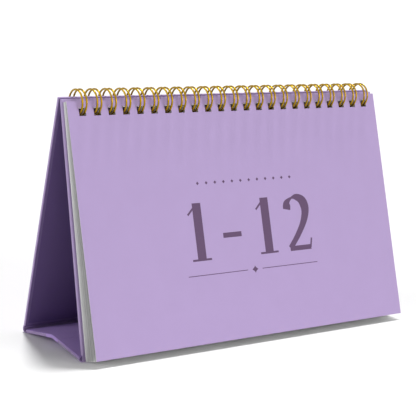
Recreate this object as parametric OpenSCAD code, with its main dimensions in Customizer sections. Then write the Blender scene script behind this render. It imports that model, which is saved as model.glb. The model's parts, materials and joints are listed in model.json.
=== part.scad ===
// Tent desk calendar: a folding stand of covered board, a twin-loop wire along its ridge,
// and a cover with twelve month sheets that hang from the wire and turn over the ridge.
// Millimetres. X runs along the ridge, the sheets hang on the -Y side, Z is up from the table.

/* [Sheets] */
// Width of a sheet
page_w = 203.2; // [160:0.1:212]
// Height of a sheet
page_h = 127; // [110:0.5:150]
// Thickness of a sheet
page_t = 0.16; // [0.1:0.01:0.2]
// Gap between two sheets where the wire holds them
sheet_gap = 0.06; // [0.04:0.01:0.08]
// Lean of the last sheet beyond the lean of the front board, in degrees
fan_start = 0.42; // [0.3:0.01:1]
// Fan of the block, from the last sheet to the cover, in degrees
fan_open = 3.35; // [1:0.05:5]
// Bias of the fan: above 1, the sheets spread more towards the cover
fan_bias = 2.2; // [1:0.05:2.4]
// Unevenness of the fan, as a share of its opening
fan_wave = 0.03; // [0:0.001:0.03]

/* [Punched holes] */
// Width of a hole
hole_w = 4; // [3.8:0.1:5]
// Height of a hole in a sheet
page_hole_h = 4.1; // [4.05:0.05:5]
// Height of a hole in a board
board_hole_h = 4.5; // [4.4:0.1:5]
// Least room between the wire and the edge of a hole
hole_clear = 0.15; // [0.1:0.01:0.25]

/* [Stand] */
// Board beyond the sheet, at each side
board_over = 1; // [0:0.1:5]
// Length of a tall board, from the ridge axis to the foot axis, beyond the height of a sheet
board_extra = 0.66; // [0:0.01:10]
// Top of the front board below the top of the back board, along the board
front_top = 0.7; // [0:0.1:1.5]
// From the middle of the stand to the outside of a foot
foot_reach = 30.4; // [22:0.1:40]
// Height of the crease above the table, under the base
crease_rise = 4.65; // [2:0.05:12]
// Thickness of a board
board_t = 1.4; // [1:0.05:1.8]
// Thickness of the wrap paper
wrap_t = 0.2; // [0.1:0.01:0.3]
// Thickness of the lining paper
lining_t = 0.2; // [0.1:0.01:0.3]
// Width of the wrap that is turned in over the edge of a board
turn_in = 1.8; // [1:0.1:6]

/* [Folds] */
// Room between a fold line and the face beside it
fold_clear = 0.15; // [0.1:0.01:0.3]
// From the foot axis to the end of each board beside it
gutter = 1.2; // [0.8:0.1:3]
// From the crease to the end of each base board
crease_gap = 5.7; // [5.6:0.1:9]
// Angle left between the tall boards when the stand is folded, in degrees
fold_rest = 5; // [4:0.1:10]

/* [Wire] */
// Diameter of the wire
wire_d = 0.9; // [0.6:0.05:1]
// Radius of a loop, to the middle of the wire
ring_r = 6.5; // [6.4:0.1:7.5]
// Distance from loop to loop
loop_pitch = 8.4667; // [8:0.0001:12]
// Distance between the two wires of a loop
pair_w = 2.4; // [2:0.05:2.6]
// Loop centre below the ridge axis, along the front board
ring_drop = 2.6; // [2.4:0.1:3.5]
// Loop centre behind the face of the front board
ring_set = 0.45; // [0.3:0.05:0.6]
// Open gap at the seam, where the tips meet the links
seam_gap = 0.6; // [0.5:0.05:1]

/* [Hidden] */

LILAC = "#bba6d1";
LINING = "#7c65a0";
GREYBOARD = "#b4aa9d";
PAPER = "#f2f0ec";
GOLD = "#d9a520";

// Section of the stand, as [y, z] points: a kite of ridge, two feet and crease
panel_t = lining_t + board_t + wrap_t;
skin_t = lining_t + wrap_t;
face_n = fold_clear + panel_t;
stand_w = page_w + 2 * board_over;
foot_y = foot_reach - face_n;
board_l = page_h + board_extra;
lean = asin(foot_y / board_l);
ridge = [0, face_n + board_l * cos(lean)];
foot = [-foot_y, face_n];
crease = [0, crease_rise + face_n];
base_tilt = atan2(crease[1] - foot[1], foot_y);
base_l = norm(crease - foot);
tall_end = board_l - gutter;
base_end = base_l - crease_gap;

// Folding: the ridge closes, and each base board turns until it is flat on its tall board
fold_deg = 2 * lean - fold_rest;
base_deg = 90 - lean - base_tilt;

// Sheets are counted from the front board outwards; the cover is the last
SHEETS = 13;
sheet_clear = 0.12;
turn_clear = 0.28;
page_rise = 0.15;
edge_clear = 0.15;
sheet_pitch = page_t + sheet_gap;
function sheet_n(k) = ring_set + sheet_clear + page_t / 2 + k * sheet_pitch;
function sheet_share(k) = let(a = k / (SHEETS - 1)) pow(a, fan_bias) + fan_wave * a * sin(105 * k);
function sheet_lean(k) = lean + fan_start + fan_open * sheet_share(k);
cover_k = SHEETS - 1;

// Loop centre, and the axis about which every sheet turns: far enough in front of the loop centre
// that the cover still clears the front board's top edge after half a turn, and above the top edges
// of the sheets, so that those that are turned over pass those that still hang
function down(a) = [-sin(a), -cos(a)];
function out(a) = [-cos(a), sin(a)];
ring = ridge + ring_drop * down(lean) + (face_n - ring_set) * out(lean);
turn_n = (sheet_n(cover_k) + ring_set + page_t / 2 + turn_clear) / 2;
turn_rise = page_rise + edge_clear;
turn_axis = ring + turn_n * out(lean) - turn_rise * down(lean);

// Wire: one unbroken tube. Each loop is a hairpin that starts at the seam behind the ridge, runs
// under the holes, up the front and over the top, turns at its tip and runs back; links join the loops.
// Angles run round the loop from straight back, upwards. The loop's corners lie a little outside
// its radius and the middles of its flats as far inside.
ARC = 12;
SIDES = 6;
seam_deg = 5;
corner_r = 1;
function arc_deg(len) = len / ring_r * 180 / PI;
link_deg = seam_deg - arc_deg((wire_d + seam_gap) / 2);
tip_deg = seam_deg + arc_deg((wire_d + seam_gap) / 2) - 360;
finger_a = link_deg - arc_deg(corner_r);
finger_b = tip_deg + arc_deg(pair_w / 2);
ring_sag = ring_r * (1 - cos((finger_a - finger_b) / (ARC - 1) / 2));
wire_r = ring_r + ring_sag / 2;

// Holes: those of the boards end just under the loop, those of the sheets start
// where the loop comes nearest to the sheet's top edge during a turn
LOOPS = floor(page_w / loop_pitch + 0.01) - 1;
function loop_x(i) = (i - (LOOPS - 1) / 2) * loop_pitch;
board_hole_s = ring_drop + wire_r + wire_d / 2 + hole_clear - board_hole_h;
ring_in = wire_r - ring_sag - wire_d / 2;
turn_room = ring_in - hole_clear - norm([turn_n, turn_rise]);
page_hole_s = sqrt(pow(turn_room, 2) - pow(turn_n - sheet_n(0), 2)) - turn_rise;

// Frame: the middle of the whole object's depth is at Y = 0
function sheet_end(k) = ring + (sheet_n(k) + page_t / 2) * out(sheet_lean(k))
  + (page_h - page_rise) * down(sheet_lean(k));
front_y = sheet_end(cover_k)[0];
back_y = -min([for (p = foot_outline()) p[0]]);
mid_y = (front_y + back_y) / 2;

// Moves a section that is drawn about the middle of the stand into the frame
module placed() {
  translate([0, -mid_y, 0]) children();
}

// Extrudes a [y, z] outline along the ridge
module along_ridge(points, width) {
  rotate([90, 0, 90]) linear_extrude(width, center = true) polygon(points);
}

// Box in a panel's own axes: x to both sides, n outwards from the hinge line, s down from the ridge
module slab(width, s, n) {
  translate([-width / 2, -n[1], -s[1]]) cube([width, n[1] - n[0], s[1] - s[0]]);
}

// Row of punched holes, their top edge at s, through everything
module holes(s, height) {
  for (i = [0:LOOPS - 1])
    translate([loop_x(i) - hole_w / 2, -50, -s - height]) cube([hole_w, 100, height]);
}

// Axes of the front board: origin on the ridge axis, Z up the board, -Y out of the stand
module on_front() {
  placed() translate([0, ridge[0], ridge[1]]) rotate([-lean, 0, 0]) children();
}

// Axes of the base's front half: origin on the foot axis, turned so that slabs run to the crease
module on_base() {
  placed() translate([0, foot[0], foot[1]]) rotate([base_tilt + 90, 0, 0]) children();
}

// Mirrors a front piece to the back of the stand
module to_back() {
  placed() mirror([0, 1, 0]) translate([0, mid_y, 0]) children();
}

// Board core of a panel that runs from s[0] to s[1]
module core(s) {
  slab(stand_w - 2 * wrap_t, [s[0] + wrap_t, s[1] - wrap_t],
       [fold_clear + lining_t, face_n - wrap_t]);
}

// Lining of a panel, inside the turned-in edge of its wrap
module inlay(s) {
  slab(stand_w - 2 * turn_in, [s[0] + turn_in, s[1] - turn_in], [fold_clear, fold_clear + lining_t]);
}

// Wrap paper of a panel: outside, round the edges and turned in
module jacket(s) {
  difference() {
    slab(stand_w, s, [fold_clear, face_n]);
    core(s);
    slab(stand_w - 2 * turn_in, [s[0] + turn_in, s[1] - turn_in],
         [fold_clear - 1, fold_clear + lining_t + 0.01]);
  }
}

// Punches a piece of a tall board
module punched() {
  difference() {
    children();
    holes(board_hole_s, board_hole_h);
  }
}

// Outline of a foot's paper gutter: flats that touch a circle round the foot axis, one on the table
function foot_turns() = concat([for (j = [0:3]) 180 - lean + (90 + lean) * j / 3], [270 + base_tilt]);
function ray(a) = [cos(a), sin(a)];
function foot_side(rad) = let (t = foot_turns()) concat(
  [foot - gutter * down(lean) + rad * out(lean)],
  [for (i = [0:len(t) - 2]) foot + rad / cos((t[i + 1] - t[i]) / 2) * ray((t[i + 1] + t[i]) / 2)],
  [foot + (gutter - fold_clear) * ray(base_tilt) + rad * ray(270 + base_tilt)]);
function reversed(v) = [for (i = [len(v) - 1:-1:0]) v[i]];
function foot_outline() = concat(foot_side(face_n), reversed(foot_side(face_n - skin_t)));

module foot_gutter() {
  placed() along_ridge(foot_outline(), stand_w);
}

// One sheet, punched, hanging from the wire
module sheet(k) {
  placed() translate([0, ring[0], ring[1]]) rotate([-sheet_lean(k), 0, 0]) difference() {
    slab(page_w, [-page_rise, page_h - page_rise], [sheet_n(k) - page_t / 2, sheet_n(k) + page_t / 2]);
    holes(page_hole_s, page_hole_h);
  }
}

// Point on the wire's cylinder: x along the ridge, a round the loop
function on_ring(x, a) = [x, ring[0] - mid_y + wire_r * cos(a), ring[1] + wire_r * sin(a)];

// One finger of a loop, with n points from the link's end to the tip's end
function finger(x, n) = [for (j = [0:n - 1]) on_ring(x, finger_a + (finger_b - finger_a) * j / (n - 1))];
// The tip's bend, between its two fingers
function tip(x) = [for (j = [-45:45:45])
  on_ring(x + pair_w / 2 * sin(j), finger_b - arc_deg(pair_w / 2 * cos(j)))];
// The bend from a finger into the link, at side -1 or 1 of the loop
function corner(x, side) = [for (j = [30, 90])
  on_ring(x + side * (pair_w / 2 + corner_r * (1 - cos(j))), finger_a + arc_deg(corner_r * sin(j)))];
// The middle of the link that follows loop i
function link(i) = [on_ring((loop_x(i) + loop_x(i + 1)) / 2, link_deg)];
function hairpin(i, n) = concat(
  i > 0 ? concat(link(i - 1), reversed(corner(loop_x(i), -1))) : [],
  finger(loop_x(i) - pair_w / 2, n),
  tip(loop_x(i)),
  reversed(finger(loop_x(i) + pair_w / 2, n)),
  i < LOOPS - 1 ? corner(loop_x(i), 1) : []);
function wire_path(n) = [for (i = [0:LOOPS - 1]) each hairpin(i, n)];

function unit(v) = v / norm(v);
function axis_dir(p) = unit([0, p[1] - ring[0] + mid_y, p[2] - ring[1]]);
// Ring of the tube's corners at point i of path p, square to the path
function tube_ring(p, i) = let (
  t = unit(p[min(i + 1, len(p) - 1)] - p[max(i - 1, 0)]),
  b = unit(cross(t, axis_dir(p[i]))),
  c = cross(b, t))
  [for (j = [0:SIDES - 1]) p[i] + wire_d / 2 * (cos(60 * j) * c + sin(60 * j) * b)];

module tube(p) {
  count = len(p);
  last = (count - 1) * SIDES;
  side_faces = [for (i = [0:count - 2], j = [0:SIDES - 1]) let (
    a = i * SIDES + j, b = i * SIDES + (j + 1) % SIDES, c = a + SIDES, d = b + SIDES)
    each [[a, c, d], [a, d, b]]];
  end_faces = [for (j = [1:SIDES - 2]) each [[0, j, j + 1], [last, last + j + 1, last + j]]];
  polyhedron([for (i = [0:count - 1]) each tube_ring(p, i)], concat(side_faces, end_faces));
}

// Least gap of the wire to itself, on close points of two neighbouring loops: of all pairs of points
// that lie more than four wire diameters apart along the wire, the nearest
FINE = 6 * ARC;
fine_path = concat(hairpin(1, FINE), hairpin(2, FINE));
fine_run = [for (i = 0, run = 0; i < len(fine_path);
  run = run + norm(fine_path[min(i + 1, len(fine_path) - 1)] - fine_path[i]), i = i + 1) run];
wire_least_gap = min([for (i = [0:len(fine_path) - 2], j = [i + 1:len(fine_path) - 1])
  if (fine_run[j] - fine_run[i] > 4 * wire_d) norm(fine_path[i] - fine_path[j])]) - wire_d;
echo(wire_least_gap = wire_least_gap);

module front_board() {
  color(GREYBOARD) on_front() punched() core([front_top, tall_end]);
}

module front_wrap() {
  color(LILAC) on_front() punched() jacket([front_top, tall_end]);
}

module front_lining() {
  color(LINING) on_front() punched() inlay([front_top, tall_end]);
}

module front_foot_hinge() {
  color(LILAC) foot_gutter();
}

module twin_loop_wire() {
  color(GOLD) tube(wire_path(ARC));
}

module back_board() {
  color(GREYBOARD) to_back() on_front() punched() core([0, tall_end]);
}

module back_wrap() {
  color(LILAC) to_back() on_front() punched() jacket([0, tall_end]);
}

module back_lining() {
  color(LINING) to_back() on_front() punched() inlay([0, tall_end]);
}

module back_foot_hinge() {
  color(LILAC) to_back() front_foot_hinge();
}

module base_front_board() {
  color(GREYBOARD) on_base() core([gutter, base_end]);
}

module base_front_wrap() {
  color(LILAC) on_base() jacket([gutter, base_end]);
}

module base_front_lining() {
  color(LINING) on_base() inlay([gutter, base_end]);
}

module base_back_board() {
  color(GREYBOARD) to_back() base_front_board();
}

module base_back_wrap() {
  color(LILAC) to_back() base_front_wrap();
}

module base_back_lining() {
  color(LINING) to_back() base_front_lining();
}

// Creased strip between the base boards: it bends when the stand folds
module crease_hinge() {
  down_n = ray(270 + base_tilt);
  a = foot + base_end * ray(base_tilt);
  low = [a + face_n * down_n, crease - [0, face_n / cos(base_tilt)]];
  top = [a + fold_clear * down_n, crease - [0, fold_clear / cos(base_tilt)]];
  flip = [[-1, 0], [0, 1]];
  end_gap = fold_clear * [-cos(base_tilt), sin(base_tilt)];
  color(LILAC) placed() along_ridge([
    top[0], low[0], low[1], low[0] * flip + end_gap, top[0] * flip + end_gap, top[1]], stand_w);
}

module cover_sheet() {
  color(LILAC) sheet(cover_k);
}

module month_sheet(m) {
  color(PAPER) sheet(cover_k - m);
}

front_board();
front_wrap();
front_lining();
front_foot_hinge();
twin_loop_wire();
back_board();
back_wrap();
back_lining();
back_foot_hinge();
base_front_board();
base_front_wrap();
base_front_lining();
crease_hinge();
base_back_board();
base_back_wrap();
base_back_lining();
cover_sheet();
month_sheet(1);  // month_sheet_01
month_sheet(2);  // month_sheet_02
month_sheet(3);  // month_sheet_03
month_sheet(4);  // month_sheet_04
month_sheet(5);  // month_sheet_05
month_sheet(6);  // month_sheet_06
month_sheet(7);  // month_sheet_07
month_sheet(8);  // month_sheet_08
month_sheet(9);  // month_sheet_09
month_sheet(10);  // month_sheet_10
month_sheet(11);  // month_sheet_11
month_sheet(12);  // month_sheet_12
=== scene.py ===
"""Looks of a tent desk calendar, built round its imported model.

Metres. X runs along the ridge, the sheets hang on the -Y side and Z is up from the table.
Sections of the stand are worked out as [y, z] points.
"""
import json
import math
from typing import NamedTuple

import bmesh
import bpy
import numpy as np
from bpy.props import FloatProperty, FloatVectorProperty, IntProperty, PointerProperty
from mathutils import Matrix, Vector


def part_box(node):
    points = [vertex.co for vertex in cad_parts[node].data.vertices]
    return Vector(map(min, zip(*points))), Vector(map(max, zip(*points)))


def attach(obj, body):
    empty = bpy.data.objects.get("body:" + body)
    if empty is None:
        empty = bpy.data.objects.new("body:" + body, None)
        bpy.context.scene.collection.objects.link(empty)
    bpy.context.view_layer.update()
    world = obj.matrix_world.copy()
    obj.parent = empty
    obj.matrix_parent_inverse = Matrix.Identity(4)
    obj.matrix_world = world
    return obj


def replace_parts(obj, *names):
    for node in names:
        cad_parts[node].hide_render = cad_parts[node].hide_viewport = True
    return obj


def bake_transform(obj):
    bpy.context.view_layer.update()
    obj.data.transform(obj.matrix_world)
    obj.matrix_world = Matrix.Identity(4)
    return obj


bl_info = {
    "name": "Tent desk calendar",
    "version": (1, 0, 0),
    "blender": (4, 5, 0),
    "location": "3D View > Sidebar > Calendar",
    "description": "Dresses the packed model of a tent desk calendar",
    "category": "Object",
}

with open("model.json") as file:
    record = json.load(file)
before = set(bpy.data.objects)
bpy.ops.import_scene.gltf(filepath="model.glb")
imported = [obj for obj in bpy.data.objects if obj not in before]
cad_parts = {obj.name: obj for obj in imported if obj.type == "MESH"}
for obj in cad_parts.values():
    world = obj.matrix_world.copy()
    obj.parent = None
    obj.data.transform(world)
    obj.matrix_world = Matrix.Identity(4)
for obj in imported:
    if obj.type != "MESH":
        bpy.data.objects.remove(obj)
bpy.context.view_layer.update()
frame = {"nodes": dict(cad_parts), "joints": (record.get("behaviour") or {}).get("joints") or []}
NODES = frame["nodes"]
JOINTS = {joint["name"]: joint for joint in frame["joints"]}
MM = 0.001
MONTHS = range(1, 13)


def linear(code):
    """Linear colour of an sRGB hex code, by the two-part sRGB curve."""
    part = np.array([int(code[i:i + 2], 16) for i in (1, 3, 5)]) / 255
    part = np.where(part <= 0.04045, part / 12.92, ((part + 0.055) / 1.055) ** 2.4)
    return tuple(float(value) for value in part)


def length(name, text, millimetres):
    """A length setting with its default in millimetres."""
    return FloatProperty(name=name, description=text, default=millimetres * MM, min=0, unit="LENGTH")


def colour(name, text, code):
    """A colour setting with its default as an sRGB hex code."""
    return FloatVectorProperty(name=name, description=text, default=linear(code), size=3,
                               min=0, max=1, subtype="COLOR")


def level(name, text, value):
    """A setting for how much light there is."""
    return FloatProperty(name=name, description=text, default=value, min=0)


# Section of the stand, from the joints: the ridge, the feet and the lean of the tall boards


def joint_point(name):
    """The [y, z] point of a joint's axis."""
    return np.array(JOINTS[name]["pos_m"][1:])


RIDGE = joint_point("ridge_fold")
FRONT_FOOT = joint_point("base_front_fold")
BACK_FOOT = joint_point("base_back_fold")
FACE_N = float(FRONT_FOOT[1])
LEAN = math.atan2(RIDGE[0] - FRONT_FOOT[0], RIDGE[1] - FRONT_FOOT[1])
STAND_W = float(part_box("front_wrap")[1].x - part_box("front_wrap")[0].x)
CREASE_Y = float(FRONT_FOOT[0] + BACK_FOOT[0]) / 2


def down(angle):
    """Direction down a panel that leans by this angle."""
    return np.array([-math.sin(angle), -math.cos(angle)])


def out(angle):
    """Direction out of the front of a panel that leans by this angle."""
    return np.array([-math.cos(angle), math.sin(angle)])


# Settings


class StandLooks(bpy.types.PropertyGroup):
    wrap: colour("Wrap paper", "Paper round the boards", "#B39DCA")
    # Painted shade: the wrap turned in on the inner faces of the tall boards, darkened for the shade inside
    # the stand
    turn_in: colour("Turn-in", "Wrap paper turned in round the lining of the tall boards", "#846F9F")
    # Painted shade: the tall boards' lining is darker than the wrap paper, for the shade inside the stand
    lining: colour("Lining paper", "Paper inside the tall boards", "#745F91")
    # Painted light: the base lining is lighter and bluer than the wrap paper, to brighten the base top in
    # the boards' shade
    base_lining: colour("Base lining", "Paper on top of the base", "#C4A6EA")
    board: colour("Grey board", "Board between wrap and lining", "#B4AA9D")
    edge: length("Edge rounding", "Radius of the wrapped edges", 0.5)
    skin: length("Gutter thickness", "Wrap and lining together", 0.4)
    gutter: length("Gutter", "From the foot axis to the end of the tall board", 1.2)
    base_gutter: length("Base gutter", "From the foot axis to the end of the foot's paper", 1.05)
    crease_rise: length("Crease height", "Height of the crease above the table", 4.65)
    crease_gap: length("Crease gap", "From the crease to the end of each base board", 5.7)
    clear: length("Fold clearance", "Foot and ridge axes to the inner face of a panel", 0.15)
    crease_round: length("Crease rounding", "How softly the crease bends", 0.3)


class WireLooks(bpy.types.PropertyGroup):
    gold: colour("Gold lacquer", "Colour of the wire", "#A68410")
    thick: length("Wire diameter", "Diameter of the wire", 0.96)
    radius: length("Loop radius", "Loop to the middle of the wire", 6.5)
    pitch: length("Loop pitch", "Distance from loop to loop", 8.4667)
    pair: length("Pair width", "Distance between the two wires of a loop", 2.4)
    corner: length("Link corner", "Radius of the bend into a link", 1.0)
    seam: length("Seam gap", "Open gap where the tips meet the links", 0.6)
    drop: length("Loop drop", "Loop centre below the ridge axis", 2.6)
    inset: length("Loop inset", "Loop centre behind the board's face", 0.45)
    loops: IntProperty(name="Loops", description="Number of twin loops", default=23, min=1)


class SheetLooks(bpy.types.PropertyGroup):
    cover: colour("Cover paper", "Printed front of the cover", "#B39DCA")
    paper: colour("Sheet paper", "Uncoated white sheets", "#F3F3F3")
    ink: colour("Ink", "Print on the cover", "#5E4566")
    day_ink: colour("Day ink", "Numbers on the month sheets", "#5A4A66")
    rule_ink: colour("Rule ink", "Fine rules on the month sheets", "#B9A8CB")
    film: length("Ink film", "Thickness of the printed film", 0.012)
    lift: length("Ink lift", "Gap under the printed film", 0.006)


class StageLooks(bpy.types.PropertyGroup):
    floor: colour("Floor", "Plain pale floor", "#FFFFFF")
    reach: length("Floor reach", "Half the side of the floor", 12000)
    ambient: level("Ambient", "Mean light from all round", 0.15)
    slant: level("Slant", "How much more of it comes from the bright side", 0.26)
    key: level("Key", "Soft light from the front right", 1.42)
    top: level("Top", "Light from above, a little from behind", 2.15)
    fill: level("Fill", "Weak light from the left", 0.7)
    lens: FloatProperty(name="Lens", description="Focal length in mm", default=114.67, min=1)


# Materials


def add(tree, kind, inputs=None, **settings):
    """Adds one node: settings are its own properties, inputs a value or a socket by name or number."""
    made = tree.nodes.new(kind)
    for key, value in settings.items():
        setattr(made, key, value)
    for key, value in (inputs or {}).items():
        if isinstance(value, bpy.types.NodeSocket):
            tree.links.new(value, made.inputs[key])
        else:
            made.inputs[key].default_value = value
    return made


def per(millimetres):
    """Texture scale at which one feature has this size."""
    return 1 / (millimetres * MM)


def rgba(values, share=1.0):
    """A colour with alpha, as a share of itself."""
    return (*(min(1.0, v * share) for v in values), 1.0)


def material(name):
    """A new node material: the material, its tree and its surface shader."""
    made = bpy.data.materials.new(name)
    made.use_nodes = True
    return made, made.node_tree, made.node_tree.nodes["Principled BSDF"]


# Sockets of a Mix node, which share their names: for numbers and for colours
MIX_A, MIX_B, MIX_OUT = 2, 3, 0
TINT_A, TINT_B, TINT_OUT = 6, 7, 2
# The middle of a noise, where nearly all of its values lie
MIDDLE = {"From Min": 0.3, "From Max": 0.7}
# Cosines between a face's normal and a direction: under the first the face lies another way, and over the
# second it lies that way
AWAY, TOWARDS = 0.4, 0.6


class Stock(NamedTuple):
    """A kind of paper: its roughness, how far its tone varies, the strength of its tooth and its gloss."""
    rough: float
    tone: float
    tooth: float
    gloss: float = 0.25


WRAP = Stock(0.58, 0.025, 0.25)
BASE_WRAP = Stock(0.75, 0.025, 0.25, 0.12)
LINING = Stock(0.75, 0.03, 0.3, 0.12)
BASE_LINING = Stock(0.75, 0.025, 0.3, 0.12)
COVER = Stock(0.55, 0.022, 0.2)
SHEET = Stock(0.75, 0.012, 0.25)


def paper(name, tint, stock):
    """Paper: short fibres felted flat. The eye gets a matt face with a faint cloudiness where the fibres
    bunch, about 14 mm across, and a fine tooth. Real tooth is near 0.1 mm, and it is drawn at 0.7 mm to
    show."""
    tooth_share, rough_range, tooth_height = 0.45, 0.06, 0.05 * MM
    made, tree, shader = material(name)
    place = add(tree, "ShaderNodeTexCoord").outputs["Object"]
    cloud = add(tree, "ShaderNodeTexNoise", {"Vector": place, "Scale": per(14), "Detail": 3.0,
                                             "Roughness": 0.55}).outputs["Fac"]
    tooth = add(tree, "ShaderNodeTexNoise", {"Vector": place, "Scale": per(0.7), "Detail": 4.0,
                                             "Roughness": 0.6}).outputs["Fac"]
    both = add(tree, "ShaderNodeMix", {"Factor": tooth_share, MIX_A: cloud, MIX_B: tooth})
    ramp = add(tree, "ShaderNodeMapRange", {"Value": both.outputs[MIX_OUT], **MIDDLE})
    tone = add(tree, "ShaderNodeMix", {"Factor": ramp.outputs["Result"], TINT_A: rgba(tint, 1 - stock.tone),
                                       TINT_B: rgba(tint, 1 + stock.tone)}, data_type="RGBA")
    rough = add(tree, "ShaderNodeMapRange", {"Value": tooth, **MIDDLE, "To Min": stock.rough - rough_range,
                                             "To Max": stock.rough + rough_range})
    bump = add(tree, "ShaderNodeBump", {"Strength": stock.tooth, "Distance": tooth_height, "Height": tooth})
    tree.links.new(tone.outputs[TINT_OUT], shader.inputs["Base Color"])
    tree.links.new(rough.outputs["Result"], shader.inputs["Roughness"])
    tree.links.new(bump.outputs["Normal"], shader.inputs["Normal"])
    shader.inputs["IOR"].default_value = 1.5
    shader.inputs["Specular IOR Level"].default_value = stock.gloss
    return made


def two_tone_paper(name, face, rest, towards, stock):
    """The same paper in two colours: one where its own normal points this [y, z] way, and another on the
    rest, such as its back and its cut edges."""
    made = paper(name, face, stock)
    tree = made.node_tree
    tint = tree.nodes["Principled BSDF"].inputs["Base Color"]
    faced = tint.links[0].from_socket
    normal = add(tree, "ShaderNodeTexCoord").outputs["Normal"]
    turn = add(tree, "ShaderNodeVectorMath", {0: normal, 1: (0.0, *towards)}, operation="DOT_PRODUCT")
    share = add(tree, "ShaderNodeMapRange", {"Value": turn.outputs["Value"], "From Min": AWAY,
                                             "From Max": TOWARDS})
    mixed = add(tree, "ShaderNodeMix", {"Factor": share.outputs["Result"], TINT_A: rgba(rest),
                                        TINT_B: faced}, data_type="RGBA")
    tree.links.new(mixed.outputs[TINT_OUT], tint)
    return made


def edged_paper(name, paper_tint, edge_shade_share, half, stock):
    """A loose sheet in a block: the same paper, with painted shade on its cut edges, a share of its tone,
    fading to it over the last millimetre before its sides, for the shade each sheet gets from its
    neighbours. The eye gets the fine lines of a block of sheets."""
    made = paper(name, paper_tint, stock)
    tree = made.node_tree
    tint = tree.nodes["Principled BSDF"].inputs["Base Color"]
    plain = tint.links[0].from_socket
    spot = add(tree, "ShaderNodeTexCoord")
    flat = add(tree, "ShaderNodeVectorMath", {0: spot.outputs["Normal"], 1: (0.0, *out(LEAN))},
               operation="DOT_PRODUCT")
    flat = add(tree, "ShaderNodeMath", {0: flat.outputs["Value"]}, operation="ABSOLUTE")
    cut = add(tree, "ShaderNodeMapRange", {"Value": flat.outputs[0], "From Min": TOWARDS, "From Max": AWAY})
    across = add(tree, "ShaderNodeSeparateXYZ", {0: spot.outputs["Object"]})
    across = add(tree, "ShaderNodeMath", {0: across.outputs["X"]}, operation="ABSOLUTE")
    side = add(tree, "ShaderNodeMapRange", {"Value": across.outputs[0], "From Min": half - MM,
                                            "From Max": half})
    share = add(tree, "ShaderNodeMath", {0: cut.outputs["Result"], 1: side.outputs["Result"]},
                operation="MAXIMUM")
    mixed = add(tree, "ShaderNodeMix", {"Factor": share.outputs[0], TINT_A: plain,
                                        TINT_B: rgba(paper_tint, edge_shade_share)}, data_type="RGBA")
    tree.links.new(mixed.outputs[TINT_OUT], tint)
    return made


def grey_board(name, tint):
    """Grey board: pressed waste pulp. The eye gets a dull brown grey with darker flecks about 1.5 mm long,
    which stand 0.1 mm proud."""
    made, tree, shader = material(name)
    place = add(tree, "ShaderNodeTexCoord").outputs["Object"]
    fleck = add(tree, "ShaderNodeTexNoise", {"Vector": place, "Scale": per(1.5), "Detail": 6.0,
                                             "Roughness": 0.7}).outputs["Fac"]
    ramp = add(tree, "ShaderNodeMapRange", {"Value": fleck, "From Min": 0.35, "From Max": 0.65})
    tone = add(tree, "ShaderNodeMix", {"Factor": ramp.outputs["Result"], TINT_A: rgba(tint, 0.78),
                                       TINT_B: rgba(tint, 1.08)}, data_type="RGBA")
    bump = add(tree, "ShaderNodeBump", {"Strength": 0.4, "Distance": 0.1 * MM, "Height": fleck})
    tree.links.new(tone.outputs[TINT_OUT], shader.inputs["Base Color"])
    tree.links.new(bump.outputs["Normal"], shader.inputs["Normal"])
    shader.inputs["Roughness"].default_value = 0.92
    shader.inputs["Specular IOR Level"].default_value = 0.2
    return made


def gold_lacquer(name, tint):
    """Gold-lacquered steel wire, drawn and bent. The eye gets a bright metal with faint streaks along
    its length, near 0.1 mm wide and drawn at 0.3 mm, and slightly duller patches from the bending."""
    made, tree, shader = material(name)
    run = add(tree, "ShaderNodeUVMap", uv_map="wire_run").outputs["UV"]
    stretch = add(tree, "ShaderNodeMapping", {"Vector": run, "Scale": (per(6), per(0.3), 1.0)})
    streak = add(tree, "ShaderNodeTexNoise", {"Vector": stretch.outputs["Vector"], "Scale": 1.0,
                                              "Detail": 3.0}).outputs["Fac"]
    place = add(tree, "ShaderNodeTexCoord").outputs["Object"]
    patch = add(tree, "ShaderNodeTexNoise", {"Vector": place, "Scale": per(5), "Detail": 2.0})
    tone = add(tree, "ShaderNodeMix", {"Factor": patch.outputs["Fac"], TINT_A: rgba(tint, 0.9),
                                       TINT_B: rgba(tint, 1.1)}, data_type="RGBA")
    rough = add(tree, "ShaderNodeMapRange", {"Value": streak, **MIDDLE, "To Min": 0.16, "To Max": 0.3})
    bump = add(tree, "ShaderNodeBump", {"Strength": 0.12, "Distance": 0.02 * MM, "Height": streak})
    tree.links.new(tone.outputs[TINT_OUT], shader.inputs["Base Color"])
    tree.links.new(rough.outputs["Result"], shader.inputs["Roughness"])
    tree.links.new(bump.outputs["Normal"], shader.inputs["Normal"])
    shader.inputs["Metallic"].default_value = 1.0
    return made


def ink(name, tint):
    """Offset ink on uncoated paper: the eye gets a matt film that is a little uneven, as the paper takes it
    up in spots about 0.8 mm across."""
    made, tree, shader = material(name)
    place = add(tree, "ShaderNodeTexCoord").outputs["Object"]
    spot = add(tree, "ShaderNodeTexNoise", {"Vector": place, "Scale": per(0.8), "Detail": 3.0})
    tone = add(tree, "ShaderNodeMix", {"Factor": spot.outputs["Fac"], TINT_A: rgba(tint, 0.9),
                                       TINT_B: rgba(tint, 1.1)}, data_type="RGBA")
    tree.links.new(tone.outputs[TINT_OUT], shader.inputs["Base Color"])
    shader.inputs["Roughness"].default_value = 0.6
    shader.inputs["Specular IOR Level"].default_value = 0.3
    return made


def kept(name, maker, *values):
    """The material of this name, made the first time it is asked for."""
    return bpy.data.materials.get(name) or maker(name, *values)


def dress(node, finish):
    """Gives a CAD node its material."""
    slots = NODES[node].material_slots
    if not slots:
        NODES[node].data.materials.append(finish)
    for slot in slots:
        slot.material = finish


# Meshes

# Points closer than this are one point
SAME_POINT = 0.001 * MM
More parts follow.
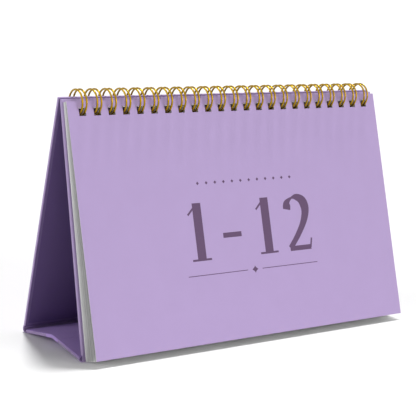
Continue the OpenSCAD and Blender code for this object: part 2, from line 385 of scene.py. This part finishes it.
# Angles between two faces: up to which they lie flat, from which their edge is drawn sharp, and from which
# it is an edge to round
FLAT, STRIP_SHARP, BOARD_SHARP, BOARD_ROUND = (math.radians(degrees) for degrees in (1, 50, 30, 45))
# Points along each curve, and facets of a rounded edge
FOOT_STEPS, CREASE_STEPS, EDGE_FACETS = 15, 9, 3
CORNER_STEPS, LOOP_STEPS, TIP_STEPS, WIRE_SIDES = 6, 46, 11, 12
DIAMOND_STEPS = 13


def grid(rows, columns, closed_rows=False, closed_columns=False):
    """Quads between neighbouring points of a grid whose points are numbered row by row."""
    row_gaps = np.arange(rows - (not closed_rows))
    column_gaps = np.arange(columns - (not closed_columns))
    i, j = (index.ravel() for index in np.meshgrid(row_gaps, column_gaps, indexing="ij"))
    k, m = (i + 1) % rows, (j + 1) % columns
    return np.stack([i * columns + j, i * columns + m, k * columns + m, k * columns + j], 1)


def piece(name, points, faces, finish, smooth=False):
    """A new object at the origin with its place in its mesh."""
    mesh = bpy.data.meshes.new(name)
    points = np.asarray(points).reshape(-1, 3)
    mesh.from_pydata(points.tolist(), [], [list(map(int, face)) for face in faces])
    mesh.polygons.foreach_set("use_smooth", [smooth] * len(mesh.polygons))
    mesh.materials.append(finish)
    mesh.update()
    made = bpy.data.objects.new(name, mesh)
    bpy.context.scene.collection.objects.link(made)
    return made


def outwards(made):
    """Turns a closed mesh's faces outwards."""
    bm = bmesh.new()
    bm.from_mesh(made.data)
    bmesh.ops.recalc_face_normals(bm, faces=bm.faces)
    bm.to_mesh(made.data)
    bm.free()


def strip(name, near, far, half, finish):
    """A strip of paper along the ridge: the section between two [y, z] lines of equal count, carried
    from -half to half on X, with its edges closed."""
    count = len(near)
    ring = np.concatenate([near, far[::-1]])
    points = np.stack([np.column_stack([np.full(len(ring), x), ring]) for x in (-half, half)])
    faces = list(grid(2, len(ring), closed_columns=True))
    a = np.arange(count - 1)
    cap = np.stack([a, a + 1, 2 * count - 2 - a, 2 * count - 1 - a], 1)
    made = piece(name, points, faces + list(cap) + list(cap[:, ::-1] + len(ring)), finish, smooth=True)
    outwards(made)
    made.data.set_sharp_from_angle(angle=STRIP_SHARP)
    return made


def rounded_copy(name, node, radius, finish):
    """A copy of a CAD panel with its outer edges rounded: those whose two ends lie at the panel's sides."""
    bm = bmesh.new()
    bm.from_mesh(NODES[node].data)
    bmesh.ops.remove_doubles(bm, verts=bm.verts, dist=SAME_POINT)
    bmesh.ops.dissolve_limit(bm, angle_limit=FLAT, verts=bm.verts, edges=bm.edges)
    side = max(abs(v.co.x) for v in bm.verts) - SAME_POINT
    weight = bm.edges.layers.float.new("bevel_weight_edge")
    for edge in bm.edges:
        at_side = all(abs(v.co.x) > side for v in edge.verts)
        edge[weight] = float(at_side and edge.calc_face_angle(0) > BOARD_ROUND)
    mesh = bpy.data.meshes.new(name)
    bm.to_mesh(mesh)
    bm.free()
    mesh.materials.clear()
    mesh.materials.append(finish)
    made = bpy.data.objects.new(name, mesh)
    bpy.context.scene.collection.objects.link(made)
    bevel = made.modifiers.new("rounded_edges", "BEVEL")
    bevel.limit_method = "WEIGHT"
    bevel.width = radius
    bevel.segments = EDGE_FACETS
    bevel.harden_normals = True
    mesh.polygons.foreach_set("use_smooth", [True] * len(mesh.polygons))
    mesh.set_sharp_from_angle(angle=BOARD_SHARP)
    return made


# Stand


class CALENDAR_OT_covered_boards(bpy.types.Operator):
    """Four panels of grey board, each wrapped in lilac paper with a lining inside. The tall boards' linings
    and inner turn-ins carry painted shade, and the base's carry painted light
    """
    bl_idname = "calendar.covered_boards"
    bl_label = "Covered boards"

    def execute(self, context):
        looks = context.scene.calendar_stand
        # Painted shade: the tall boards' lining is darker than the wrap paper, for the shade inside the
        # stand
        shaded_lining = kept("violet_lining_paper", paper, looks.lining, LINING)
        # Painted light: the base lining is lighter than the wrap paper, to brighten the base top in the
        # boards' shade
        base_lining = kept("lilac_lining_paper", paper, looks.base_lining, BASE_LINING)
        core = kept("pulp_grey_board", grey_board, looks.board)
        up = (0, 1)
        # Each wrap takes the turn-in colour on its inner faces: painted shade on the tall boards, painted
        # light on the base
        for panel, lining, turn_in, inwards, stock in (
                ("front", shaded_lining, looks.turn_in, -out(LEAN), WRAP),
                ("back", shaded_lining, looks.turn_in, out(-LEAN), WRAP),
                ("base_front", base_lining, looks.base_lining, up, BASE_WRAP),
                ("base_back", base_lining, looks.base_lining, up, BASE_WRAP)):
            dress(panel + "_board", core)
            dress(panel + "_lining", lining)
            finish = kept(panel + "_lilac_wrap_paper", two_tone_paper, turn_in, looks.wrap, inwards, stock)
            made = rounded_copy(panel + "_wrap_rounded", panel + "_wrap", looks.edge, finish)
            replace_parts(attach(made, panel), panel + "_wrap")
        return {"FINISHED"}


def foot_lines(looks, foot, side, base_tilt):
    """Outer and inner line of a foot's paper: a straight run down the tall board, an arc round the
    foot axis and a straight run under the base. Side is 1 at the front and -1 at the back."""
    turn = np.linspace(math.pi - LEAN, 1.5 * math.pi + base_tilt, FOOT_STEPS)
    lines = []
    for radius in (FACE_N, FACE_N - looks.skin):
        start = -looks.gutter * down(LEAN) + radius * out(LEAN)
        arc = radius * np.column_stack([np.cos(turn), np.sin(turn)])
        end = looks.base_gutter * np.array([math.cos(base_tilt), math.sin(base_tilt)]) + arc[-1]
        line = np.vstack([start, arc, end])
        lines.append(foot + line * [side, 1])
    return lines


def base_angle(looks):
    """Tilt of the base boards, from a foot axis to the crease."""
    return math.atan2(looks.crease_rise, CREASE_Y - FRONT_FOOT[0])


class CALENDAR_OT_paper_hinges(bpy.types.Operator):
    """What bends when the stand folds: a paper gutter round each foot, and two halves of the crease"""
    bl_idname = "calendar.paper_hinges"
    bl_label = "Paper hinges"

    def execute(self, context):
        looks = context.scene.calendar_stand
        wrap = kept("lilac_wrap_paper", paper, looks.wrap, WRAP)
        base_lining = kept("lilac_lining_paper", paper, looks.base_lining, BASE_LINING)
        tilt = base_angle(looks)
        half = STAND_W / 2
        for name, foot, side in (("front", FRONT_FOOT, 1), ("back", BACK_FOOT, -1)):
            near, far = foot_lines(looks, foot, side, tilt)
            made = strip(name + "_foot_paper", near, far, half, wrap)
            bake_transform(made)
            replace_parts(made, name + "_foot_hinge")
        for name, side in (("front", -1), ("back", 1)):
            start_run = looks.crease_gap * math.cos(tilt) + FACE_N * math.sin(tilt)
            run = np.linspace(start_run, 0, CREASE_STEPS)
            fall = (np.hypot(run, looks.crease_round) - looks.crease_round) * math.tan(tilt)
            top = looks.crease_rise + FACE_N - looks.clear / math.cos(tilt) - fall
            low = looks.crease_rise + FACE_N - FACE_N / math.cos(tilt) - fall
            y = CREASE_Y + side * run
            # The crease halves take the base lining, with its painted light
            made = strip(name + "_crease_half", np.column_stack([y, low]), np.column_stack([y, top]), half,
                         base_lining)
            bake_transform(made)
            if name == "front":
                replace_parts(made, "crease_hinge")
        return {"FINISHED"}


# Binding

# Where the tips meet the links, as an angle up from level at the back of the loops
SEAM_ANGLE = math.radians(5)


def wire_line(looks):
    """Centreline of the wire, on a cylinder of the loop radius: each loop is a hairpin that leaves its link
    at the back of the ridge, runs under the holes, up the front and over the top, turns at its tip and runs
    back. Gives the points and the radial directions there."""
    centre = RIDGE + looks.drop * down(LEAN) + (FACE_N - looks.inset) * out(LEAN)
    half_gap = (looks.thick + looks.seam) / 2 / looks.radius
    reach = looks.pair / 2
    start = SEAM_ANGLE - half_gap - looks.corner / looks.radius
    stop = SEAM_ANGLE + half_gap - 2 * math.pi + reach / looks.radius
    bend = np.linspace(math.pi / 2, 0, CORNER_STEPS, endpoint=False)
    tip = np.linspace(-math.pi / 2, math.pi / 2, TIP_STEPS)
    sweep = np.linspace(start, stop, LOOP_STEPS, endpoint=False)
    corner_x = reach + looks.corner * (1 - np.cos(bend))
    corner_a = start + looks.corner / looks.radius * np.sin(bend)
    tip_a = stop - reach / looks.radius * np.cos(tip)
    x = np.concatenate([-corner_x, np.full(len(sweep), -reach), reach * np.sin(tip),
                        np.full(len(sweep), reach), corner_x[::-1]])
    a = np.concatenate([corner_a, sweep, tip_a, sweep[::-1], corner_a[::-1]])
    loop = (np.arange(looks.loops) - (looks.loops - 1) / 2) * looks.pitch
    x = (loop[:, None] + x).ravel()[len(bend):-len(bend)]
    a = np.tile(a, looks.loops)[len(bend):-len(bend)]
    radial = np.column_stack([np.zeros(len(a)), np.cos(a), np.sin(a)])
    axis = np.column_stack([x, np.full(len(a), centre[0]), np.full(len(a), centre[1])])
    return axis + looks.radius * radial, radial


def tube(line, normal, radius, sides):
    """A round tube: a circle square to the line at each of its points, with two smaller circles at each
    end that close it. Gives points, faces and the run of each ring along the line."""
    along = np.gradient(line, axis=0)
    along /= np.linalg.norm(along, axis=1)[:, None]
    across = np.cross(along, normal)
    across /= np.linalg.norm(across, axis=1)[:, None]
    upright = np.cross(across, along)
    run = np.concatenate([[0], np.cumsum(np.linalg.norm(np.diff(line, axis=0), axis=1))])
    end_sizes, end_steps = np.array([0.45, 0.85]), radius * np.array([0.35, 0.2])[:, None]
    line = np.concatenate([line[0] - along[0] * end_steps, line, line[-1] + along[-1] * end_steps[::-1]])
    size = np.concatenate([end_sizes, np.ones(len(run)), end_sizes[::-1]]) * radius
    upright, across, run = (np.concatenate([v[:1], v[:1], v, v[-1:], v[-1:]])
                            for v in (upright, across, run))
    turn = np.linspace(0, 2 * math.pi, sides, endpoint=False)[None, :, None]
    ring = np.cos(turn) * upright[:, None] + np.sin(turn) * across[:, None]
    points = line[:, None] + ring * size[:, None, None]
    faces = list(grid(len(line), sides, closed_columns=True))
    faces += [np.arange(sides)[::-1], np.arange(sides) + (len(line) - 1) * sides]
    return points, faces, run


class CALENDAR_OT_binding_wire(bpy.types.Operator):
    """One gold wire with a row of twin loops along the ridge"""
    bl_idname = "calendar.binding_wire"
    bl_label = "Twin-loop wire"

    def execute(self, context):
        looks = context.scene.calendar_wire
        line, radial = wire_line(looks)
        points, faces, run = tube(line, radial, looks.thick / 2, WIRE_SIDES)
        finish = kept("gold_lacquered_wire", gold_lacquer, looks.gold)
        made = piece("twin_loop_wire_smooth", points, faces, finish, smooth=True)
        layer = made.data.uv_layers.new(name="wire_run")
        corner = np.zeros(len(made.data.loops), dtype=np.int32)
        made.data.loops.foreach_get("vertex_index", corner)
        girth = 2 * math.pi * looks.thick / 2
        uv = np.column_stack([run[corner // WIRE_SIDES], (corner % WIRE_SIDES) / WIRE_SIDES * girth])
        layer.data.foreach_set("uv", uv.astype(np.float32).ravel())
        outwards(made)
        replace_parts(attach(made, "front"), "twin_loop_wire")
        return {"FINISHED"}


# Sheets and print

# Painted shade on the sheets' cut edges, as a share of the paper's tone: at the cover, lighter by each
# sheet towards the board, and darker on every other one, for the shade between the sheets of the block
EDGE_SHADE_TONE, EDGE_SHADE_STEP, EDGE_SHADE_ODD = 0.66, 0.045, 0.16


class CALENDAR_OT_sheets(bpy.types.Operator):
    """A cover printed lilac on its face, and twelve white sheets"""
    bl_idname = "calendar.sheets"
    bl_label = "Sheets"

    def execute(self, context):
        looks = context.scene.calendar_sheets
        dress("cover_sheet", kept("lilac_cover_paper", two_tone_paper, looks.cover, looks.paper, out(LEAN),
                                  COVER))
        half = float(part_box("cover_sheet")[1].x)
        for month in MONTHS:
            # Painted shade on this sheet's cut edges and side margins
            edge = EDGE_SHADE_TONE + EDGE_SHADE_STEP * month - EDGE_SHADE_ODD * (month % 2)
            dress("month_sheet_%02d" % month, kept("white_uncoated_paper_%02d" % month, edged_paper,
                                                   looks.paper, edge, half, SHEET))
        return {"FINISHED"}


# Numerals as pen strokes in a box one unit high: smooth lines run through their points, straight ones
# and hairlines join two. A closed stroke is given by centre and radii.
STROKES = {
    "0": [("ring", (0.28, 0.5, 0.21, 0.455))],
    "1": [("hair", (0.1, 0.8), (0.3, 0.985)), ("line", (0.3, 1.0), (0.3, 0.0)),
          ("hair", (0.1, 0.018), (0.5, 0.018))],
    "2": [("curve", (0.06, 0.75), (0.1, 0.89), (0.26, 0.965), (0.43, 0.9), (0.49, 0.73), (0.42, 0.51),
           (0.25, 0.27), (0.05, 0.05)),
          ("line", (0.04, 0.04), (0.53, 0.04)), ("hair", (0.52, 0.03), (0.56, 0.2))],
    "3": [("curve", (0.08, 0.82), (0.26, 0.965), (0.44, 0.84), (0.4, 0.62), (0.2, 0.535)),
          ("curve", (0.2, 0.535), (0.45, 0.43), (0.47, 0.19), (0.27, 0.035), (0.06, 0.17))],
    "4": [("hair", (0.4, 0.98), (0.04, 0.3)), ("line", (0.03, 0.29), (0.56, 0.29)),
          ("line", (0.4, 1.0), (0.4, 0.0))],
    "5": [("line", (0.12, 0.95), (0.48, 0.95)), ("hair", (0.13, 0.95), (0.1, 0.5)),
          ("curve", (0.1, 0.5), (0.28, 0.6), (0.47, 0.46), (0.47, 0.2), (0.28, 0.035), (0.06, 0.14))],
    "6": [("curve", (0.44, 0.92), (0.25, 0.9), (0.1, 0.64), (0.07, 0.32), (0.17, 0.08), (0.34, 0.05),
           (0.48, 0.24), (0.43, 0.48), (0.27, 0.56), (0.1, 0.42))],
    "7": [("line", (0.05, 0.95), (0.52, 0.95)), ("curve", (0.51, 0.95), (0.34, 0.55), (0.23, 0.02))],
    "8": [("ring", (0.28, 0.755, 0.165, 0.2)), ("ring", (0.28, 0.285, 0.205, 0.245))],
    "9": [("curve", (0.12, 0.08), (0.31, 0.1), (0.46, 0.36), (0.49, 0.68), (0.39, 0.92), (0.22, 0.95),
           (0.08, 0.76), (0.13, 0.52), (0.29, 0.44), (0.46, 0.58))],
    "-": [("line", (0.06, 0.4), (0.46, 0.4))],
}
ADVANCE = 0.6


class Pen(NamedTuple):
    """How numbers are drawn: the widths of thin and thick strokes and the space between numerals, as shares
    of their height, and the points along a stroke."""
    thin: float
    thick: float
    space: float
    steps: int


COVER_PEN = Pen(0.035, 0.19, 0.14, 40)
MONTH_PEN = Pen(0.035, 0.15, 0.02, 24)
DAY_PEN = Pen(0.06, 0.13, 0.0, 9)


def smooth_line(knots, count):
    """A line through its knots: on each span a cubic whose slope at a knot is half the step between
    that knot's neighbours."""
    knots = np.asarray(knots, float)
    padded = np.vstack([2 * knots[0] - knots[1], knots, 2 * knots[-1] - knots[-2]])
    at = np.linspace(0, len(knots) - 1, count)
    span = np.minimum(at.astype(int), len(knots) - 2)
    t = (at - span)[:, None]
    p0, p1, p2, p3 = (padded[span + i] for i in range(4))
    return 0.5 * (2 * p1 + (p2 - p0) * t + (2 * p0 - 5 * p1 + 4 * p2 - p3) * t ** 2
                  + (3 * p1 - p0 - 3 * p2 + p3) * t ** 3)


def stroke_line(stroke, count):
    """Centreline of one stroke, and whether it is closed."""
    kind, *knots = stroke
    if kind == "ring":
        x, y, rx, ry = knots[0]
        turn = np.linspace(0, 2 * math.pi, count, endpoint=False)
        return np.column_stack([x + rx * np.sin(turn), y + ry * np.cos(turn)]), True
    if kind in ("line", "hair"):
        return np.asarray(knots, float), False
    return smooth_line(knots, count), False


def ribbon(line, half, closed):
    """Both edges of a flat band along a line, half a width to each side of it."""
    if closed:
        along = np.roll(line, -1, 0) - np.roll(line, 1, 0)
    else:
        along = np.gradient(line, axis=0)
    along /= np.linalg.norm(along, axis=1)[:, None]
    side = np.column_stack([-along[:, 1], along[:, 0]]) * half(along)[:, None]
    return line - side, line + side


def nib(thin, thick):
    """Half the width of a stroke of a broad pen held at a slant: by the sine of the angle between them."""
    slant = math.radians(20)
    return lambda along: (thin + (thick - thin) * np.abs(along[:, 1] * math.cos(slant)
                                                         - along[:, 0] * math.sin(slant))) / 2


# Heights of the film, as shares: how many there are, and the step from one to the next
FILM_HEIGHTS, FILM_STEP = 3, 0.25
# Least half width of a lozenge, as a share of its radius
LEAST_WIDTH = 0.02


class Print:
    """Gathers flat bands in a sheet's own axes, x to the right and s down from the top edge, and lays
    them on its face as a thin film."""

    def __init__(self):
        self.points, self.faces, self.count = [], [], 0

    def band(self, left, right, closed=False):
        """A closed film between two edges: a ring of four points at each step, capped where it is open. Its
        top is one film high, or a little more, so that crossing strokes don't share a face."""
        top = 1 + FILM_STEP * (len(self.points) % FILM_HEIGHTS)
        ring = np.stack([np.column_stack([edge, np.full(len(edge), height)])
                         for edge, height in ((left, 0), (right, 0), (right, top), (left, top))], 1)
        faces = grid(len(left), 4, closed_rows=closed, closed_columns=True)
        ends = [] if closed else [np.arange(4)[::-1], np.arange(4) + 4 * (len(left) - 1)]
        self.faces += [face + self.count for face in [*faces, *ends]]
        self.points.append(ring.reshape(-1, 3))
        self.count += 4 * len(left)

    def rule(self, x0, x1, s, width):
        """A straight level rule."""
        line, half = np.array([[x0, s], [x1, s]]), np.array([0, width / 2])
        self.band(line - half, line + half)

    def diamond(self, x, s, radius, hollow=1.6):
        """A lozenge whose sides curve in: its half width falls to nothing by this power of the height."""
        t = np.linspace(-1, 1, DIAMOND_STEPS)
        wide = np.maximum((1 - np.abs(t)) ** hollow, LEAST_WIDTH) * radius
        self.band(np.column_stack([x - wide, s + t * radius]), np.column_stack([x + wide, s + t * radius]))

    def number(self, text, x, s, height, pen):
        """A number whose top left corner is at (x, s)."""
        for glyph in text:
            for stroke in STROKES[glyph]:
                line, closed = stroke_line(stroke, pen.steps)
                thick = pen.thin if stroke[0] == "hair" else pen.thick
                pair = ribbon(line, nib(pen.thin, thick), closed)
                left, right = ([x, s] + ([0, 1] + edge * [1, -1]) * height for edge in pair)
                self.band(left, right, closed)
            x += (ADVANCE + pen.space) * height

    def lay(self, name, node, body, looks, finish):
        """Lays the film on a sheet's face, from the top edge of the sheet's mesh to its foremost edge."""
        co = np.array([v.co for v in NODES[node].data.vertices])
        top, foot = co[co[:, 2].argmax()][1:], co[co[:, 1].argmin()][1:]
        fall = (foot - top) / np.linalg.norm(foot - top)
        front = np.array([fall[1], -fall[0]])
        flat = np.concatenate(self.points)
        height = looks.lift + looks.film * flat[:, 2]
        section = top + flat[:, 1, None] * fall + height[:, None] * front
        made = piece(name, np.column_stack([flat[:, 0], section]), self.faces, finish)
        outwards(made)
        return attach(made, body)


# Layout of the cover print, down from the sheet's top edge: a row of dots, the numbers and a broken rule
PRINT_MIDDLE = 1.2 * MM
DOTS, DOT_ROW, DOT_STEP, DOT_RADIUS = 12, 44.5 * MM, 5.6 * MM, 0.9 * MM
TEXT_TOP, TEXT_HEIGHT = 54.6 * MM, 30 * MM
RULE_ROW, RULE_START, RULE_END, RULE_WIDTH = 92 * MM, 4.9 * MM, 43.2 * MM, 0.38 * MM
LOZENGE_RADIUS = 2 * MM


class CALENDAR_OT_cover_print(bpy.types.Operator):
    """Plain numbers over a rule with a diamond, in the middle of the cover"""
    bl_idname = "calendar.cover_print"
    bl_label = "Cover print"

    def execute(self, context):
        looks = context.scene.calendar_sheets
        made = Print()
        for x in (np.arange(DOTS) - (DOTS - 1) / 2) * DOT_STEP:
            made.diamond(PRINT_MIDDLE + x, DOT_ROW, DOT_RADIUS, hollow=1.0)
        text, space = "1-12", COVER_PEN.space
        wide = (len(text) * (ADVANCE + space) - space) * TEXT_HEIGHT
        made.number(text, PRINT_MIDDLE - wide / 2, TEXT_TOP, TEXT_HEIGHT, COVER_PEN)
        for x0, x1 in ((-RULE_END, -RULE_START), (RULE_START, RULE_END)):
            made.rule(PRINT_MIDDLE + x0, PRINT_MIDDLE + x1, RULE_ROW, RULE_WIDTH)
        made.diamond(PRINT_MIDDLE, RULE_ROW, LOZENGE_RADIUS)
        made.lay("cover_print", "cover_sheet", "cover", looks, kept("mauve_offset_ink", ink, looks.ink))
        return {"FINISHED"}


MONTH_DAYS = (31, 28, 31, 30, 31, 30, 31, 31, 30, 31, 30, 31)
WEEK = 7
# Layout of a month sheet: its number over a table of days, whose numbers are set in from the corners of
# their cells
MONTH_TOP, MONTH_HEIGHT = 13.5 * MM, 13 * MM
TABLE_LEFT, TABLE_TOP, TABLE_RULE, TABLE_ROWS = -94 * MM, 33 * MM, 0.25 * MM, 6
CELL_WIDE, CELL_TALL = 26.9 * MM, 14.6 * MM
DAY_RIGHT, DAY_DOWN, DAY_HEIGHT = 0.8 * MM, 1.8 * MM, 4.2 * MM


class CALENDAR_OT_month_prints(bpy.types.Operator):
    """A month's number, its days in seven columns and fine rules, on each white sheet"""
    bl_idname = "calendar.month_prints"
    bl_label = "Month prints"

    def execute(self, context):
        looks = context.scene.calendar_sheets
        day_ink = kept("violet_day_ink", ink, looks.day_ink)
        rule_ink = kept("lilac_rule_ink", ink, looks.rule_ink)
        right = TABLE_LEFT + WEEK * CELL_WIDE
        first = 0
        for month, days in zip(MONTHS, MONTH_DAYS):
            node, body = "month_sheet_%02d" % month, "month_%02d" % month
            rules, numbers = Print(), Print()
            numbers.number(str(month), TABLE_LEFT, MONTH_TOP, MONTH_HEIGHT, MONTH_PEN)
            for row in range(TABLE_ROWS + 1):
                rules.rule(TABLE_LEFT, right, TABLE_TOP + row * CELL_TALL, TABLE_RULE)
            for day in range(days):
                row, column = divmod(first + day, WEEK)
                numbers.number(str(day + 1), TABLE_LEFT + column * CELL_WIDE + DAY_RIGHT,
                               TABLE_TOP + row * CELL_TALL + DAY_DOWN, DAY_HEIGHT, DAY_PEN)
            first = (first + days) % WEEK
            rules.lay("month_rules_%02d" % month, node, body, looks, rule_ink)
            numbers.lay("month_days_%02d" % month, node, body, looks, day_ink)
        return {"FINISHED"}


# Stage

# Where each lamp stands, as a direction from the stand, and over how many degrees it is spread
KEY_FROM, KEY_SPREAD = (0.38, -0.9, 0.2), 40
TOP_FROM, TOP_SPREAD = (0.18, 0.21, 1.0), 8
FILL_FROM, FILL_SPREAD = (-0.82, 0.16, 0.42), 30
BRIGHT_SIDE = (0.45, -0.75, 0.48)
# The camera's turn round the stand, its rise and its roll, the point it looks at and how far away it is
TURN, RISE, ROLL = (math.radians(degrees) for degrees in (-36.73, 10.68, 2.95))
TARGET = Vector((-8.52 * MM, CREASE_Y, 64.96 * MM))
DISTANCE = 713.97 * MM
SENSOR_MM = 36
FLOOR_GAP = 0.02 * MM


class CALENDAR_OT_stage(bpy.types.Operator):
    """Pale floor, soft studio light and the camera"""
    bl_idname = "calendar.stage"
    bl_label = "Stage"

    def execute(self, context):
        looks = context.scene.calendar_stage
        scene = context.scene
        scene.view_settings.view_transform = "Standard"
        self.floor(looks)
        self.world(scene, looks)
        self.lamp("key_light", looks.key, KEY_FROM, KEY_SPREAD)
        self.lamp("top_light", looks.top, TOP_FROM, TOP_SPREAD)
        self.lamp("fill_light", looks.fill, FILL_FROM, FILL_SPREAD)
        self.camera(scene, looks)
        return {"FINISHED"}

    @staticmethod
    def floor(looks):
        """A flat square, a little below the feet so that faces don't share a plane."""
        side = np.array([-looks.reach, looks.reach])
        x, y = np.meshgrid(side, side)
        points = np.stack([x, y, np.full_like(x, -FLOOR_GAP)], -1)
        made, _, shader = material("pale_floor")
        shader.inputs["Base Color"].default_value = rgba(looks.floor)
        shader.inputs["Roughness"].default_value = 0.9
        shader.inputs["Specular IOR Level"].default_value = 0.0
        piece("floor", points, grid(2, 2), made)

    @staticmethod
    def world(scene, looks):
        """White where the camera, metal and glass see it. The light it gives is weaker, and grows evenly
        from the far left to the bright side at the front right."""
        world = bpy.data.worlds.new("white_surround")
        scene.world = world
        world.use_nodes = True
        tree = world.node_tree
        path = add(tree, "ShaderNodeLightPath").outputs
        seen = add(tree, "ShaderNodeMath", {0: path["Is Camera Ray"], 1: path["Is Glossy Ray"]},
                   operation="MAXIMUM")
        seen = add(tree, "ShaderNodeMath", {0: seen.outputs[0], 1: path["Is Transmission Ray"]},
                   operation="MAXIMUM")
        way = add(tree, "ShaderNodeTexCoord").outputs["Generated"]
        bright = add(tree, "ShaderNodeVectorMath", {0: way, 1: BRIGHT_SIDE}, operation="DOT_PRODUCT")
        given = add(tree, "ShaderNodeMath", {0: bright.outputs["Value"], 1: looks.slant, 2: looks.ambient},
                    operation="MULTIPLY_ADD")
        strength = add(tree, "ShaderNodeMapRange", {"Value": seen.outputs[0], "To Min": given.outputs[0],
                                                    "To Max": 1.0})
        shader = tree.nodes["Background"]
        shader.inputs["Color"].default_value = (1, 1, 1, 1)
        tree.links.new(strength.outputs["Result"], shader.inputs["Strength"])

    @staticmethod
    def lamp(name, strength, direction, spread):
        """A soft light from far away, from this direction, spread over this many degrees."""
        data = bpy.data.lights.new(name, "SUN")
        data.energy = strength
        data.angle = math.radians(spread)
        made = bpy.data.objects.new(name, data)
        made.rotation_mode = "QUATERNION"
        made.rotation_quaternion = Vector(direction).to_track_quat("Z", "Y")
        bpy.context.scene.collection.objects.link(made)

    @staticmethod
    def camera(scene, looks):
        """Looks at the stand from its front left, a little from above and slightly rolled."""
        back = Vector((math.sin(TURN) * math.cos(RISE), -math.cos(TURN) * math.cos(RISE), math.sin(RISE)))
        sideways = Vector((math.cos(TURN), math.sin(TURN), 0))
        upright = back.cross(sideways)
        right = sideways * math.cos(ROLL) + upright * math.sin(ROLL)
        up = upright * math.cos(ROLL) - sideways * math.sin(ROLL)
        data = bpy.data.cameras.new("camera")
        data.sensor_width = SENSOR_MM
        data.lens = looks.lens
        data.clip_start, data.clip_end = 0.01, 100
        made = bpy.data.objects.new("camera", data)
        place = Matrix((right, up, back)).transposed().to_4x4()
        place.translation = TARGET + back * DISTANCE
        made.matrix_world = place
        scene.collection.objects.link(made)
        scene.camera = made


class CALENDAR_PT_panel(bpy.types.Panel):
    """Lists the calendar's pieces and settings"""
    bl_idname = "CALENDAR_PT_panel"
    bl_label = "Desk calendar"
    bl_space_type = "VIEW_3D"
    bl_region_type = "UI"
    bl_category = "Calendar"

    def draw(self, context):
        for operator in OPERATORS:
            self.layout.operator(operator.bl_idname)
        for group, settings in GROUPS.items():
            box = self.layout.box()
            for name in settings.__annotations__:
                box.prop(getattr(context.scene, group), name)


GROUPS = {"calendar_stand": StandLooks, "calendar_wire": WireLooks, "calendar_sheets": SheetLooks,
          "calendar_stage": StageLooks}
OPERATORS = (CALENDAR_OT_stage, CALENDAR_OT_covered_boards, CALENDAR_OT_paper_hinges,
             CALENDAR_OT_binding_wire, CALENDAR_OT_sheets, CALENDAR_OT_cover_print,
             CALENDAR_OT_month_prints)


def register():
    for made in (*GROUPS.values(), *OPERATORS, CALENDAR_PT_panel):
        bpy.utils.register_class(made)
    for name, settings in GROUPS.items():
        setattr(bpy.types.Scene, name, PointerProperty(type=settings))


def unregister():
    for name in GROUPS:
        delattr(bpy.types.Scene, name)
    for made in reversed((*GROUPS.values(), *OPERATORS, CALENDAR_PT_panel)):
        bpy.utils.unregister_class(made)


def main():
    register()
    bpy.ops.calendar.stage()
    bpy.ops.calendar.covered_boards()
    bpy.ops.calendar.paper_hinges()
    bpy.ops.calendar.binding_wire()
    bpy.ops.calendar.sheets()
    bpy.ops.calendar.cover_print()
    bpy.ops.calendar.month_prints()


if __name__ == "__main__":
    main()
